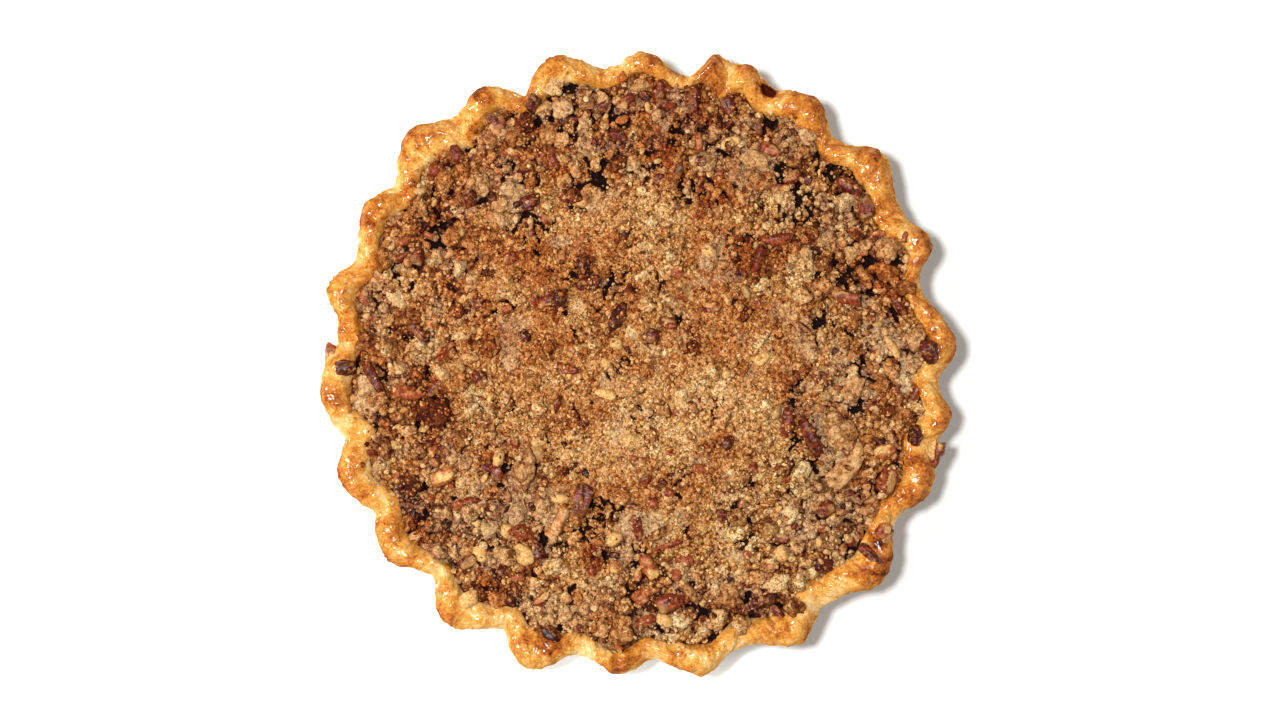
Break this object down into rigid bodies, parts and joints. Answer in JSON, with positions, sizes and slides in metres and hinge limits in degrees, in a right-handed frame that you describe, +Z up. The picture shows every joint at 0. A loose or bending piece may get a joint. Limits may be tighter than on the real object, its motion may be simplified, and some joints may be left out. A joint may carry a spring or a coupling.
{
  "type": "apple crumble pie",
  "caption": "Whole baked fruit pie in a plain tin: sloping metal pan, finger-fluted glazed pastry rim and a low dome of nutty crumble.",
  "frame": {"origin": "centre of the tin's flat underside, on the surface that the pie stands on", "axes": "+Z up through the middle of the crumble, +X along the pie's widest span, +Y level and square to it"},
  "size_m": [0.2549, 0.2503, 0.0526],
  "materials": {
    "crumble": "rough baked oat, butter and brown sugar crumble with chopped pecans, matt",
    "pastry": "egg-washed shortcrust, golden to brown on the lobes and cream in the pinches, glossy on top and matt below",
    "tin": "plain spun aluminium, satin, with faint turning marks"
  },
  "bodies": {
    "root": {"crumble_topping": "crumble", "pastry_case": "pastry", "pie_tin": "tin"}
  },
  "joints": []
}
